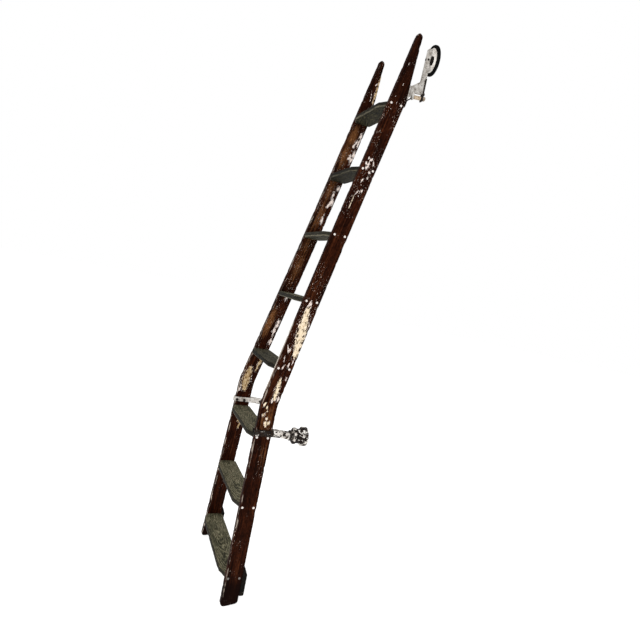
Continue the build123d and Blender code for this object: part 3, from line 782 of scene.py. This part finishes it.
def stile(node, side, finish, seed, *wear):
    """Timber over a CAD stile: its section at every height, dented, with chipped arrises."""
    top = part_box(node)[1].z
    levels = list(FOOT_CUTS)
    z = PLAIN_FROM
    while z < top - PLAIN_TO:
        levels.append(z)
        z += CUT_STEP
    levels += [top - down for down in TOP_CUTS]
    cut = slices(node, levels)
    rings, board = [], []
    half_thick = STILE_THICK / 2
    for (front, back, outer), z in zip(cut, levels):
        radius = 0.0028 + 0.0012 * noise.noise(Vector((seed, 0, z * 9)))
        ring = rounded_box_ring(outer - STILE_THICK, outer, front, back, radius, 4, 26, 5)
        line = front_line(z)
        points = []
        for x, y in ring:
            here = Vector((x * 30, y * 30, z * 30 + seed))
            from_face = min(abs(y - front), abs(y - back))
            from_side = min(abs(x - outer), abs(x - outer + STILE_THICK))
            dent = DENT * (1 + noise.noise(here))
            if from_face < ARRIS and from_side < ARRIS:
                chip = noise.noise(Vector((x * 60 + seed, y * 60, z * 42)))
                dent += max(0.0, chip - 0.22) * CHIP
            middle = Vector(((outer - half_thick), (front + back) / 2))
            away = Vector((x, y)) - middle
            half_deep = max(1e-4, (back - front) / 2)
            size = Vector((
                max(-1, min(1, away.x / half_thick)) ** 5,
                max(-1, min(1, away.y / half_deep)) ** 9,
            ))
            x -= size.x * dent
            y -= size.y * dent
            points.append(Vector((side * x, y, z)))
            board.append(((x - outer + STILE_THICK) * 1000, (y - line) * 1000, z * 1000))
        rings.append(points)
    mesh = loft(node + "_timber", rings, {"board": board, "wear": wear_field(board, *wear)})
    return weighted(scene_object(node + "_timber", mesh, finish, "ladder", slots[node], node))


stile("stile_right", 1, stile_right_finish, 3.1, RIGHT_PAINT, HIDDEN_PAINT, RIGHT_WARM)
stile("stile_left", -1, stile_left_finish, 8.7, HIDDEN_PAINT, LEFT_PAINT, LEFT_WARM)


# ------------------------------------------------------------------ treads
TREAD_TONE = (0.78, 0.52, 1.0, 0.75, 0.42, 0.86, 0.98, 1.0)  # brightness, top tread first
HOUSED = 0.006  # how far a tread's end goes into its stile
NOSE_CORNER = 0.048  # length over which the nosing falls back to the stile
HOUSING_STOP = 0.0135  # how far short of the back the housed end stops
TREAD_ROUND = 0.0062
HOLLOW, GRAIN_DEPTH, NOSE_CHIP = 0.0016, 0.00025, 0.006  # depths of wear


def tread(number):
    """A plank over a CAD tread, hollowed by feet, its nosing chipped."""
    node = "tread_%d" % number
    low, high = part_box(node)
    mid_z = (low.z + high.z) / 2
    end = high.x
    inner = end - HOUSED
    nosing, rear = low.y, high.y
    stile_line = front_line(mid_z)
    seed = number * 3.7
    stations = sorted(
        {round(-end + k * (2 * end) / 60, 5) for k in range(61)}
        | {round(s * (inner - NOSE_CORNER * k / 8), 5) for s in (1, -1) for k in range(9)}
        | {round(s * (inner - 0.051 - 0.004 * k), 5) for s in (1, -1) for k in range(3)}
    )
    apex = 60 * noise.noise(Vector((seed, 4, 0)))
    heart = 46 + 14 * noise.noise(Vector((seed, 0, 5)))
    rings, board, grain = [], [], []
    for x in stations:
        reach = min(1.0, max(0.0, (inner - abs(x)) / NOSE_CORNER))
        soft = reach if reach < 0.92 else 1 - 0.5 * (1 - reach)
        front = stile_line + (nosing - stile_line) * soft
        back = rear if abs(x) < inner - 0.0025 else rear - HOUSING_STOP
        ring = rounded_box_ring(front, back, low.z, high.z, TREAD_ROUND, 14, 3, 5)
        points = []
        wear_x = max(0.0, 1 - (x / (inner * 0.8)) ** 2)
        for y, z in ring:
            upper = z > mid_z
            deep = (y - front) / (back - front)
            wear = HOLLOW * wear_x * max(0.0, 1 - abs(deep - 0.35) / 0.5) * (1 if upper else 0)
            rough = GRAIN_DEPTH * (1 + noise.noise(Vector((x * 12, y * 90, z * 90 + seed))))
            chip = 0.0
            if deep < 0.08:
                flake = noise.noise(Vector((x * 30 + seed, 2.0, z * 50)))
                chip = max(0.0, flake - 0.25) * NOSE_CHIP
            points.append(Vector((x, y + chip, z - (wear + rough) * (1 if upper else -1))))
            board.append(((z - low.z) * 1000, (y - front) * 1000, x * 1000 + seed * 900))
            from_pith = 26 + 0.13 * (x * 1000 - apex) - (z - mid_z) * 1000
            grain.append((from_pith, deep * 92 - heart, TREAD_TONE[number - 1]))
        rings.append(points)
    mesh = loft(node + "_plank", rings, {"board": board, "grain": grain})
    weighted(scene_object(node + "_plank", mesh, tread_finish, "ladder", slots[node], node))


for number in range(1, TREADS + 1):
    tread(number)

# ------------------------------------------------------------------ hardware from the frame
for name in ("heel_block_left", "heel_block_right"):
    eased_copy(name, 0.0022, black_finish)
eased_copy("top_bracket", 0.0011, bracket_finish)
for name in ("top_brace", "keeper_plate"):
    eased_copy(name, 0.0008, iron_finish)
for name in ("ledge_strap_right_outer", "ledge_strap_right_inner", "ledge_block_right"):
    eased_copy(name, 0.0009, strap_finish_right)
for name in ("ledge_strap_left_outer", "ledge_strap_left_inner", "ledge_block_left"):
    eased_copy(name, 0.0009, strap_finish_left)
for name in ("tread_screws_left", "tread_screws_right", "heel_screws"):
    nodes[name].data.materials.clear()
    nodes[name].data.materials.append(screw_finish)
for name in nodes:
    if slots[name] == "dark_iron" and not nodes[name].hide_render:
        nodes[name].data.materials.clear()
        nodes[name].data.materials.append(nut_finish if name == "guide_nut" else iron_finish)

# ------------------------------------------------------------------ turned parts
def turned(name, joint, outline, finish, body, slot, node):
    """A lathed piece about a joint's axis, standing for a CAD node."""
    spin = joints[joint]
    mesh = lathe(name, outline, spin["pos_m"], spin["axis"])
    scene_object(name, mesh, finish, body, slot, node)


# outlines in millimetres: (radius, distance along the axis, corner radius)
hub_outline = arc_corners([
    (5.05, -10, 0.4), (12, -10, 1.2), (14, -3, 3), (45.5, -3, 1.5), (47, -5.8, 0.8), (50, -5.8, 0),
    (50, 5.8, 0), (47, 5.8, 0.8), (45.5, 3, 1.5), (14, 3, 3), (12, 8, 1.2), (5.05, 8, 0.4),
])
turned(
    "wheel_web", "top_wheel_spin", hub_outline, web_finish,
    "top_wheel", "white_painted_iron", "wheel_hub",
)
tyre_outline = arc_corners(
    [(50, -6.4, 0), (52, -6.5, 1), (63.5, -6.5, 5), (63.5, 6.5, 5), (52, 6.5, 1), (50, 6.4, 0)], 7
)
turned(
    "wheel_tread", "top_wheel_spin", tyre_outline, tyre_finish,
    "top_wheel", "tyre_rubber", "wheel_tyre",
)
guide_outline = arc_corners([
    (4.05, -22, 0), (8.5, -22, 1.4), (8.1, -5, 20), (8.5, 12, 1.4), (4.05, 12, 0),
])
turned(
    "guide_sleeve", "guide_roller_spin", guide_outline, tan_finish,
    "guide_roller", "tan_roller", "guide_roller",
)
roller_outline = arc_corners([
    (5.05, 6.3, 0), (19, 6.3, 1), (19, 17, 3), (36, 17, 3), (36, 27, 2.5), (32, 31, 2),
    (32, 51, 2), (37, 55, 1.5), (42, 55, 2.5), (42, 79, 5), (20, 79, 2), (20, 82, 1), (5.05, 82, 0),
])
turned(
    "ledge_pulley", "ledge_roller_spin", roller_outline, roller_finish,
    "ledge_roller", "worn_iron_roller", "ledge_roller",
)

# ------------------------------------------------------------------ floor, light and camera
FLOOR = 30  # half its side
BACKDROP = 29
CAMERA_PLACE = (2.2044, -0.8590, 1.4139)
CAMERA_FORWARD = (-0.9227, 0.3772, -0.0798)
CAMERA_RIGHT = (0.3561, 0.9132, 0.1981)  # the view is rolled, so this is not level

world = bpy.data.worlds.new("studio")
bpy.context.scene.world = world
world.use_nodes = True
world.node_tree.nodes["Background"].inputs[0].default_value = (1, 1, 1, 1)
world.node_tree.nodes["Background"].inputs[1].default_value = 0.62

floor_mesh = bpy.data.meshes.new("floor")
floor_corners = [(FLOOR * x, FLOOR * y, 0) for x, y in ((-1, -1), (1, -1), (1, 1), (-1, 1))]
floor_mesh.from_pydata(floor_corners, [], [(0, 1, 2, 3)])
floor = bpy.data.objects.new("floor", floor_mesh)
bpy.context.scene.collection.objects.link(floor)
pale = Shader("pale_floor")
pale.finish((0.62, 0.62, 0.62), 0.9, specular=0.0)
pale.bsdf.inputs["Emission Color"].default_value = (1, 1, 1, 1)
pale.bsdf.inputs["Emission Strength"].default_value = 0.66
floor_mesh.materials.append(pale.material)

bm = bmesh.new()
bmesh.ops.create_uvsphere(bm, u_segments=48, v_segments=24, radius=BACKDROP)
dome_mesh = bpy.data.meshes.new("backdrop")
bm.to_mesh(dome_mesh)
bm.free()
dome = bpy.data.objects.new("backdrop", dome_mesh)
bpy.context.scene.collection.objects.link(dome)
glow = bpy.data.materials.new("white_backdrop")
glow.use_nodes = True
glow.node_tree.nodes.clear()
emission = glow.node_tree.nodes.new("ShaderNodeEmission")
emission.inputs[1].default_value = 1.0
glow_out = glow.node_tree.nodes.new("ShaderNodeOutputMaterial")
glow.node_tree.links.new(emission.outputs[0], glow_out.inputs[0])
dome_mesh.materials.append(glow)
dome.visible_diffuse = False
dome.visible_glossy = False
dome.visible_transmission = False
dome.visible_shadow = False


def area_light(name, place, target, size, power, color=(1, 1, 1)):
    data = bpy.data.lights.new(name, "AREA")
    data.shape = "DISK"
    data.size = size
    data.energy = power
    data.color = color
    obj = bpy.data.objects.new(name, data)
    obj.location = place
    obj.rotation_euler = (Vector(target) - Vector(place)).to_track_quat("-Z", "Y").to_euler()
    bpy.context.scene.collection.objects.link(obj)


area_light("key", (3.6, -3.0, 4.4), (0, 0, 1.3), 5.0, 170, (1.0, 0.99, 0.96))
area_light("fill", (1.6, -4.2, 1.6), (0, 0, 1.1), 3.6, 60)
area_light("back", (-2.6, 2.8, 3.6), (0, 0, 1.4), 3.0, 60, (0.97, 0.98, 1.0))

camera_data = bpy.data.cameras.new("camera")
camera_data.sensor_width = 36.0
camera_data.lens = 27.89
camera_data.shift_x = 0.0027
camera_data.shift_y = 0.0086
camera_data.clip_end = 200
camera = bpy.data.objects.new("camera", camera_data)
bpy.context.scene.collection.objects.link(camera)
forward = Vector(CAMERA_FORWARD).normalized()
right = Vector(CAMERA_RIGHT)
right = (right - forward * right.dot(forward)).normalized()
up = right.cross(forward)
turn = Matrix((right, up, -forward)).transposed().to_4x4()
camera.matrix_world = Matrix.Translation(CAMERA_PLACE) @ turn
bpy.context.scene.camera = camera
bpy.context.scene.view_settings.view_transform = "Standard"
